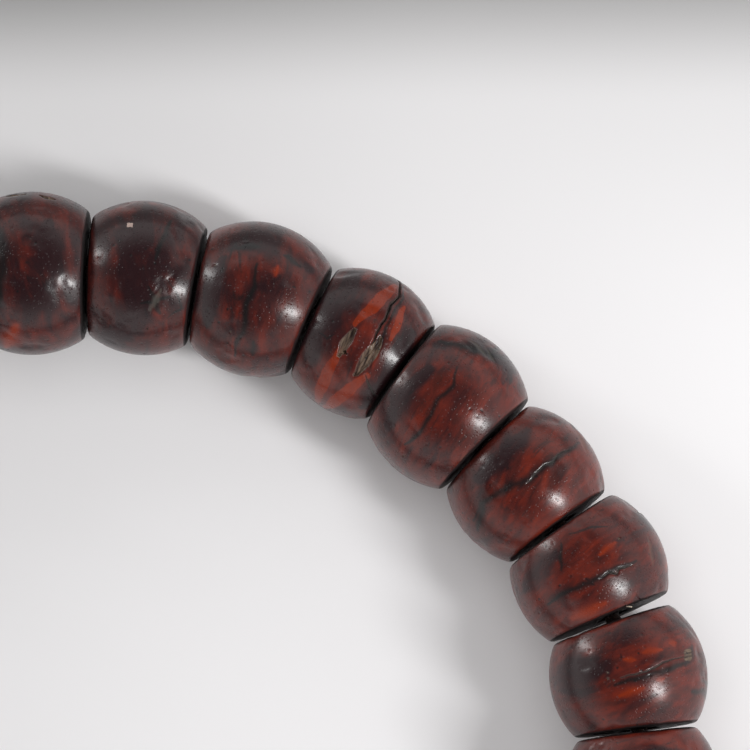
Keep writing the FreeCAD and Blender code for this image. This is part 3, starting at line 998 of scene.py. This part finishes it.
class MALA_BeadSettings(bpy.types.PropertyGroup):
    """Shape and colours of the seed beads."""

    rows_around: count("Rows Around", "Faces round a bead", 180, 24)
    rows_along: count("Rows Along", "Faces over belly, ends and bore", 84, 24)
    fine_share: number("Fine Share", "How much finer the marked beads are", 2.1)
    rim_softness: length("Rim Softness", "How far belly and end blend at the rim", 0.0004)
    skin: length("Skin", "What wear takes off again on the average", 0.00005)
    fullness: number("Fullness", "Belly's arc against the bead's radius", 1.16)
    wobble: number("Wobble", "How far a bead is out of round, in millimetres", 0.07)
    dents: number("Dents", "Depth of shallow dents, in millimetres", 0.10)
    grain: number("Grain", "Depth of the grain, in millimetres", 0.016)
    pits: number("Pits", "Depth of pits, in millimetres", 0.035)
    red: tint("Red-brown", "Colour of the dyed skin", (0.104, 0.0125, 0.0072))
    plum: tint("Plum", "Colour of the dark skin", (0.017, 0.0055, 0.0068))
    # The vein colour is also painted in the pits and round the splits as painted shade, and as a painted
    # shadow beside a split on bead_13.
    vein: tint("Vein", "Colour of the blue-black veins", (0.0065, 0.0065, 0.0070))
    heart: tint("Heartwood", "Colour of the orange lenses", (0.175, 0.018, 0.0035))
    dust: tint("Dust", "Colour of dust in splits", (0.18, 0.17, 0.135))


class MALA_CordSettings(bpy.types.PropertyGroup):
    """The twisted cord and its knot."""

    radius: length("Radius", "Half the cord's thickness", 0.00055)
    plies: count("Plies", "Strands twisted together", 3, 2)
    twist: length("Twist", "Length of one full twist", 0.0024)
    wraps: number("Wraps", "Turns of the cord round the knot", 3.2)
    dark: tint("Dark", "Colour in the lay of the thread", (0.016, 0.008, 0.007))
    light: tint("Light", "Colour on top of the thread", (0.070, 0.030, 0.022))
    stray: tint("Stray", "Colour of a loose dry fibre", (0.40, 0.34, 0.27))


class MALA_TowerSettings(bpy.types.PropertyGroup):
    """The turned tower bead."""

    rows: count("Rows", "Faces round the tower", 96, 16)
    dark: tint("Dark", "Dark figure of the wood", (0.030, 0.012, 0.009))
    light: tint("Light", "Light figure of the wood", (0.120, 0.040, 0.020))


class MALA_StageSettings(bpy.types.PropertyGroup):
    """Floor, lights and camera."""

    floor: tint("Floor", "Colour of the floor", (0.86, 0.85, 0.86))
    # The colour of the floor's painted shade, where the light falls off up the view and to the left.
    floor_painted_shade: tint("Floor Painted Shade", "Colour of the floor where it falls off", (0.21, 0.208, 0.206))
    azimuth: angle("Azimuth", "Way the top of the view points, from +Y", 40.29)
    lean: angle("Lean", "Way the camera leans, from the top of the view towards its left", 45)
    elevation: angle("Elevation", "Height of the camera over the floor", 85.5)
    distance: length("Distance", "From the camera to the beads", 1.2)
    width: length("Width", "Width of the view at the beads", 0.05037)
    key: power("Key Light", "Power of the main light", 2.0)
    rim: power("Side Light", "Power of the low side light", 0.6)
    soft: power("Soft Light", "Power of the wide light above", 2.6)
    fill: number("Fill", "Strength of the light from all round", 1.25)
    overhead: number("Overhead", "Strength of the light from straight above", 0.07)


def wear_values(settings):
    return {
        "Wobble": settings.wobble, "Dent Depth": settings.dents, "Grain Depth": settings.grain,
        "Pit Depth": settings.pits,
    }


class MalaOperator(bpy.types.Operator):
    """A step that makes one kind of piece."""

    bl_options = {"INTERNAL"}


class MALA_OT_beads(MalaOperator):
    """Make every seed bead of the strand"""

    bl_idname = "mala.beads"
    bl_label = "Seed Beads"

    def execute(self, context):
        settings = context.scene.mala_beads
        rule = drum_bead_tree(wear_rule())
        finish = seed_material("hand_worn_seed", skin_rule(), settings)
        for index, node in enumerate(BEADS):
            self.make(node, index, rule, finish, settings)
        return {"FINISHED"}

    def make(self, node, index, rule, finish, settings):
        bead = Bead(node)
        draw = random.Random(index * 7 + 3)
        fine = settings.fine_share if node in WORN else 1
        mesh = grow(rule, {
            "Radius": bead.radius + settings.skin, "Half Length": bead.half + settings.skin,
            "Bore Radius": bead.bore, "Back Slant": bead.slants[0], "Front Slant": bead.slants[1],
            "Rim Softness": settings.rim_softness, "Fullness": settings.fullness,
            "Rows Around": int(settings.rows_around * fine), "Rows Along": int(settings.rows_along * fine),
            "Seed": float(index + 1), "Grain Tilt": draw.uniform(-0.25, 0.25), **wear_values(settings),
            "Material": finish,
        })
        tone = TONES.get(node, draw.uniform(0.15, 0.9))
        stretch = UNDERSIDE if node in WORN else ALL_ROUND
        marks = WORN.get(node, []) + chance_marks(index * 11 + 5, stretch, bead.half / MM)
        carve(mesh, marks, bead.radius / MM, bead.bore / MM, tone, bead.depth_in)
        mesh.transform(bead.place())
        face_out(mesh)
        piece(f"{node}_worn", mesh, node, [node])


CROSS_HOLE, TAIL_HOLE = 0.00145, 0.00155   # radii of the guru bead's holes
PAST_MIDDLE = -0.0002   # where a drill starts, so that the holes meet
DRILL_SIDES = 48


class MALA_OT_guru(MalaOperator):
    """Make the guru bead with its three drilled holes"""

    bl_idname = "mala.guru"
    bl_label = "Guru Bead"

    def execute(self, context):
        settings = context.scene.mala_beads
        finish = seed_material("guru_seed_skin", skin_rule(), settings, 0.05)
        low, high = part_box("guru_bead")
        radius = (high.z - low.z) / 2
        mesh = grow(ball_tree(wear_rule()), {
            "Radius": radius, "Subdivisions": 7, "Seed": 40.0, "Grain Tilt": 0.2, **wear_values(settings),
            "Material": finish,
        })
        marks = chance_marks(77, ALL_ROUND, radius / MM * 0.6)
        carve(mesh, marks, radius / MM, 0.0, 0.55)
        mesh.transform(Matrix.Translation(box_middle("guru_bead")) @ Matrix.Rotation(math.pi / 2, 4, "Y"))
        mesh = self.drilled(mesh)
        face_out(mesh)
        piece("guru_bead_worn", mesh, "strand", ["guru_bead"])
        return {"FINISHED"}

    def drilled(self, mesh):
        """Bore the cross hole and the tail hole, each with a flared mouth."""
        guru = box_middle("guru_bead")
        tail = Vector(JOINTS["tower"]["axis"]).normalized()
        low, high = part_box("guru_bead")
        reach = (high.z - low.z) / 2
        holder = show("ball", mesh)
        drills = []
        cross = Vector((1, 0, 0))
        for way, hole in ((cross, CROSS_HOLE), (-cross, CROSS_HOLE), (tail, TAIL_HOLE)):
            bit = flared_bit(hole, math.sqrt(reach ** 2 - hole ** 2))
            bit.transform(Matrix.Translation(guru) @ way.to_track_quat("Z", "Y").to_matrix().to_4x4())
            cut = holder.modifiers.new("cut", "BOOLEAN")
            cut.operation = "DIFFERENCE"
            cut.solver = "EXACT"
            cut.object = show("drill", bit)
            drills.append(cut.object)
        result = settled(holder)
        for spare in (holder, *drills):
            bpy.data.objects.remove(spare)
        return result


def flared_bit(hole, mouth):
    """A drill of a hole's radius that widens where it leaves the ball, at the mouth."""
    return lathe([
        (0, PAST_MIDDLE), (hole, PAST_MIDDLE), (hole, mouth - 0.0006), (hole * 1.12, mouth - 0.0002),
        (hole * 1.45, mouth + 0.0003), (hole * 1.5, mouth + 0.002), (0, mouth + 0.002),
    ], DRILL_SIDES)


def lathe(profile, rows):
    """Turn an outline of radius and height round Z into a closed shape."""
    shape = bmesh.new()
    rings = []
    for radius, height in profile:
        if radius == 0:
            rings.append([shape.verts.new((0, 0, height))])
            continue
        turns = [2 * math.pi * step / rows for step in range(rows)]
        rings.append([shape.verts.new((radius * math.cos(t), radius * math.sin(t), height)) for t in turns])
    for lower, upper in zip(rings[:-1], rings[1:]):
        join_rings(shape, lower, upper, rows)
    if len(rings[0]) > 1:
        join_rings(shape, rings[-1], rings[0], rows)
    bmesh.ops.recalc_face_normals(shape, faces=shape.faces)
    mesh = bpy.data.meshes.new("lathe")
    shape.to_mesh(mesh)
    shape.free()
    return mesh


def join_rings(shape, lower, upper, rows):
    for step in range(rows):
        after = (step + 1) % rows
        corners = [lower[step % len(lower)], lower[after % len(lower)],
                   upper[after % len(upper)], upper[step % len(upper)]]
        shape.faces.new(list(dict.fromkeys(corners)))


class MALA_OT_tower(MalaOperator):
    """Make the turned tower bead over the guru bead's third hole"""

    bl_idname = "mala.tower"
    bl_label = "Tower Bead"

    def execute(self, context):
        settings = context.scene.mala_tower
        axis = Vector(JOINTS["tower"]["axis"]).normalized()
        middle = Vector(JOINTS["tower"]["pos_m"])
        spots = [vertex.co - middle for vertex in frame["nodes"]["tower_bead"].data.vertices]
        solid = sorted((spot.dot(axis), (spot - axis * spot.dot(axis)).length) for spot in spots)
        start, end = solid[0][0], solid[-1][0]
        bore = min(across for _along, across in solid)
        mesh = lathe(self.outline(start, end, bore, solid), settings.rows)
        mesh.transform(Matrix.Translation(middle) @ axis.to_track_quat("Z", "Y").to_matrix().to_4x4())
        mesh.shade_smooth()
        mesh.materials.append(wood_material(settings))
        piece("tower_bead_turned", mesh, "tower", ["tower_bead"])
        return {"FINISHED"}

    def outline(self, start, end, bore, solid):
        """Hollow foot, three turned rings, neck, bulb and tip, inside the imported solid's own outline."""
        foot = max(across for _along, across in solid)
        length = end - start
        outer = [
            (0.93, 0.000), (0.985, 0.010), (1.0, 0.035), (0.995, 0.07), (0.96, 0.105), (0.90, 0.115),
            (0.885, 0.125), (0.90, 0.14), (0.93, 0.16), (0.925, 0.19), (0.88, 0.215), (0.82, 0.222),
            (0.80, 0.235), (0.81, 0.25), (0.79, 0.28), (0.735, 0.32), (0.69, 0.36), (0.665, 0.40),
            (0.66, 0.44), (0.69, 0.475), (0.74, 0.52), (0.785, 0.57), (0.80, 0.62), (0.80, 0.66),
            (0.775, 0.71), (0.725, 0.755), (0.685, 0.775), (0.665, 0.785), (0.67, 0.80), (0.69, 0.82),
            (0.69, 0.85), (0.665, 0.885), (0.64, 0.92), (0.62, 0.96), (0.59, 0.985), (0.555, 0.997),
        ]
        shell = [(across * foot, start + along * length) for across, along in outer]
        tip = [(bore * 1.06, end), (bore, end - 0.0003)]
        hollow_foot = [(bore, start + 0.0012), (bore * 1.3, start + 0.0008), (foot * 0.7, start + 0.0004)]
        return shell + tip + hollow_foot


class MALA_OT_cord(MalaOperator):
    """Make the twisted cord that runs through every bead"""

    bl_idname = "mala.cord"
    bl_label = "Stringing Cord"

    def execute(self, context):
        settings = context.scene.mala_cord
        finish = thread_material("waxed_thread", settings)
        mesh = grow(cord_rule(), {
            "Plies": settings.plies, "Cord Radius": settings.radius, "Twist Length": settings.twist,
            "Step": 0.0002, "Sides": 8, "Fibres": 1.6e6, "Fibre Length": 0.0003, "Seed": 4,
            "Material": finish,
        }, nurbs(cord_line(), "cord_line"))
        lift_off_floor(mesh)
        mesh.shade_smooth()
        piece("stringing_cord_twisted", mesh, "strand", ["stringing_cord"])
        return {"FINISHED"}


class MALA_OT_whiskers(MalaOperator):
    """Make the loose fibres that stand out between two beads"""

    bl_idname = "mala.whiskers"
    bl_label = "Loose Fibres"

    def execute(self, context):
        settings = context.scene.mala_cord
        self.make("fibre_pale", settings.stray, ((1.1, 3.9), (1.2, 4.2), (1.3, 4.4), (1.4, 4.5)))
        self.make("fibre_dark", settings.dark, ((2.1, 3.4), (2.2, 3.7), (2.4, 3.9), (2.6, 4.0)))
        return {"FINISHED"}

    def make(self, name, colour, spots):
        """Bend a fibre along spots, given in millimetres outwards and upwards from the strand."""
        bead = Bead("bead_16")
        gap = bead.middle + bead.axis * (bead.half + 0.12 * MM)
        line = []
        for index, (far, high) in enumerate(spots):
            line.append(gap + bead.out * (far * MM) + UP * (high * MM) + bead.axis * (0.08 * MM * index))
        curve = nurbs(line, name)
        curve.bevel_depth = 0.04 * MM
        curve.bevel_resolution = 2
        curve.use_fill_caps = True
        holder = show(name, curve)
        mesh = settled(holder)
        bpy.data.objects.remove(holder)
        mesh.materials.clear()
        mesh.materials.append(fibre_material(f"{name}_thread", colour))
        face_out(mesh)
        fibre = show(name, mesh)
        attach(fibre, "strand")


class MALA_OT_knot(MalaOperator):
    """Make the wrapped knot that closes the cord"""

    bl_idname = "mala.knot"
    bl_label = "Closing Knot"

    def execute(self, context):
        settings = context.scene.mala_cord
        finish = thread_material("knotted_thread", settings)
        mesh = grow(cord_rule(), {
            "Plies": settings.plies, "Cord Radius": settings.radius * 0.93, "Twist Length": settings.twist,
            "Step": 0.00012, "Sides": 10, "Fibres": 3.0e6, "Fibre Length": 0.0005, "Seed": 9,
            "Material": finish,
        }, nurbs(self.wrapped(settings), "knot_line"))
        lift_off_floor(mesh)
        mesh.shade_smooth()
        piece("closing_knot_wrapped", mesh, "strand", ["closing_knot"])
        return {"FINISHED"}

    def wrapped(self, settings):
        """Turns laid side by side round the two strands, then one turn crossing back under them."""
        knot = box_middle("closing_knot")
        axis = Vector(JOINTS["tower"]["axis"]).normalized()
        across = Vector((1, 0, 0))
        lift = axis.cross(across)
        reach, tuck = 0.00132, 0.0018   # from the axis to a turn, and as far as the last turn goes
        pitch = settings.radius * 1.9
        steps = 14   # control points in a turn
        points = [knot + across * 0.0005 - axis * 0.0016]
        total = int(settings.wraps * steps)
        for step in range(total + 1):
            turn = 2 * math.pi * step / steps
            along = pitch * (step / steps - settings.wraps / 2)
            points.append(knot + axis * along + (across * math.cos(turn) + lift * math.sin(turn)) * reach)
        crossing = [(0.3, 0.9), (0.1, 0.35), (-0.2, -0.2), (-0.35, -0.75)]
        last = 2 * math.pi * settings.wraps
        for height, along in crossing:
            turn = last + (0.9 - along) * 1.2
            spot = across * math.cos(turn) + lift * math.sin(turn)
            points.append(knot + axis * along * tuck + spot * reach * 1.12)
        return points


AIM = (-0.00369, 0.03994, 0.004)   # the middle of the view
FLOOR_REACH = 1.5
# The floor is painted darker up the view and towards the left: painted shade where the studio light falls
# off.
DIM_FROM, DIM_DEEPER, DIM_TO = 0.030, 0.051, 0.062   # how far up the view the floor falls off
DIM_LEFT, DIM_RIGHT = -0.004, 0.030                  # and how far across it


class MALA_OT_stage(MalaOperator):
    """Make the floor, the lights and the camera"""

    bl_idname = "mala.stage"
    bl_label = "Stage"

    def execute(self, context):
        settings = context.scene.mala_stage
        self.floor(settings)
        aim = Vector(AIM)
        right = Vector((math.cos(settings.azimuth), math.sin(settings.azimuth), 0))
        up = Vector((-right.y, right.x, 0))
        self.light("key", aim, right * 0.92 - up * 0.38, 51, 0.55, (0.08, 0.17), settings.key)
        self.light("side", aim, up * 0.5 - right * 0.87, 74, 0.5, (0.06, 0.2), settings.rim)
        soft = self.light("fill", aim, up, 8, 0.9, (0.8, 0.8), settings.soft)
        soft.visible_glossy = False
        self.camera(context, settings, aim)
        world = bpy.data.worlds.new("studio")
        context.scene.world = world
        world.use_nodes = True
        tree = world.node_tree
        _x, _y, height = split(tree, add(tree, "ShaderNodeTexCoord", output="Generated"))
        strength = height.ramp(0.22, 0.85).flip() * (settings.fill - settings.overhead) + settings.overhead
        feed(tree, tree.nodes["Background"].inputs["Strength"], strength)
        tree.nodes["Background"].inputs["Color"].default_value = (1.0, 0.99, 0.985, 1)
        context.scene.view_settings.view_transform = "Standard"
        return {"FINISHED"}

    def floor(self, settings):
        mesh = bpy.data.meshes.new("floor")
        corners = [(-1, -1), (1, -1), (1, 1), (-1, 1)]
        mesh.from_pydata([(x * FLOOR_REACH, y * FLOOR_REACH, 0) for x, y in corners], [], [(0, 1, 2, 3)])
        material, tree, shader = new_material("pale_floor")
        x, y, _z = split(tree, add(tree, "ShaderNodeTexCoord", output="Object"))
        away = x * -math.sin(settings.azimuth) + y * math.cos(settings.azimuth)
        across = x * math.cos(settings.azimuth) + y * math.sin(settings.azimuth)
        # Painted shade: the floor is painted darker up the view and towards the left, as the light falls off
        # there.
        dim = away.ramp(DIM_FROM, DIM_TO) * 0.30 + away.ramp(DIM_DEEPER, DIM_TO) * 0.58
        dim = dim + across.ramp(DIM_LEFT, DIM_RIGHT).flip() * 0.12
        floor = mix(tree, dim, (*settings.floor, 1), (*settings.floor_painted_shade, 1))
        tree.links.new(floor, shader.inputs["Base Color"])
        shader.inputs["Roughness"].default_value = 0.9
        mesh.materials.append(material)
        show("floor", mesh)

    def light(self, name, aim, way, tilt, distance, size, power):
        """A soft rectangle of light, tilted so many degrees from straight above."""
        lamp = bpy.data.lights.new(name, "AREA")
        lamp.shape = "RECTANGLE"
        lamp.size, lamp.size_y = size
        lamp.energy = power
        holder = show(name, lamp)
        lean = math.radians(tilt)
        towards = way.normalized() * math.sin(lean) + UP * math.cos(lean)
        holder.location = aim + towards * distance
        holder.rotation_euler = towards.to_track_quat("Z", "Y").to_euler()
        holder.visible_camera = False
        return holder

    def camera(self, context, settings, aim):
        lens = bpy.data.cameras.new("camera")
        lens.sensor_width = 36
        lens.lens = lens.sensor_width * settings.distance / settings.width
        holder = show("camera", lens)
        heading = settings.azimuth + settings.lean
        level = Vector((-math.sin(heading), math.cos(heading), 0))
        look = level * math.cos(settings.elevation) - UP * math.sin(settings.elevation)
        holder.location = aim - look * settings.distance
        side = level.cross(UP)
        top = side.cross(look)
        right = side * math.cos(settings.lean) - top * math.sin(settings.lean)
        turn = Matrix((right, right.cross(look), -look)).transposed()
        holder.rotation_euler = turn.to_euler()
        lens.clip_start = 0.01
        lens.clip_end = 10
        context.scene.camera = holder


def shared(name, build):
    """A node group that is built once and found again by name."""
    return bpy.data.node_groups.get(name) or build()


def wear_rule():
    return shared("Seed wear", seed_wear_tree)


def skin_rule():
    return shared("Seed skin", seed_skin_group)


def cord_rule():
    return shared("Plied cord", plied_cord_tree)


class MALA_PT_parts(bpy.types.Panel):
    """Lists the steps that make the mala"""

    bl_idname = "MALA_PT_parts"
    bl_label = "Worn Seed Mala"
    bl_space_type = "VIEW_3D"
    bl_region_type = "UI"
    bl_category = "Mala"

    def draw(self, context):
        for step in STEPS:
            self.layout.operator(step.bl_idname)


STEPS = (
    MALA_OT_beads, MALA_OT_guru, MALA_OT_tower, MALA_OT_cord, MALA_OT_whiskers, MALA_OT_knot, MALA_OT_stage,
)
SETTINGS = {
    "mala_beads": MALA_BeadSettings, "mala_cord": MALA_CordSettings, "mala_tower": MALA_TowerSettings,
    "mala_stage": MALA_StageSettings,
}


def register():
    for kind in (*SETTINGS.values(), *STEPS, MALA_PT_parts):
        bpy.utils.register_class(kind)
    for name, kind in SETTINGS.items():
        setattr(bpy.types.Scene, name, PointerProperty(type=kind))


def unregister():
    for name in SETTINGS:
        delattr(bpy.types.Scene, name)
    for kind in (MALA_PT_parts, *reversed(STEPS), *reversed(SETTINGS.values())):
        bpy.utils.unregister_class(kind)


def main():
    register()
    bpy.ops.mala.beads()
    bpy.ops.mala.guru()
    bpy.ops.mala.tower()
    bpy.ops.mala.cord()
    bpy.ops.mala.whiskers()
    bpy.ops.mala.knot()
    bpy.ops.mala.stage()


if __name__ == "__main__":
    main()
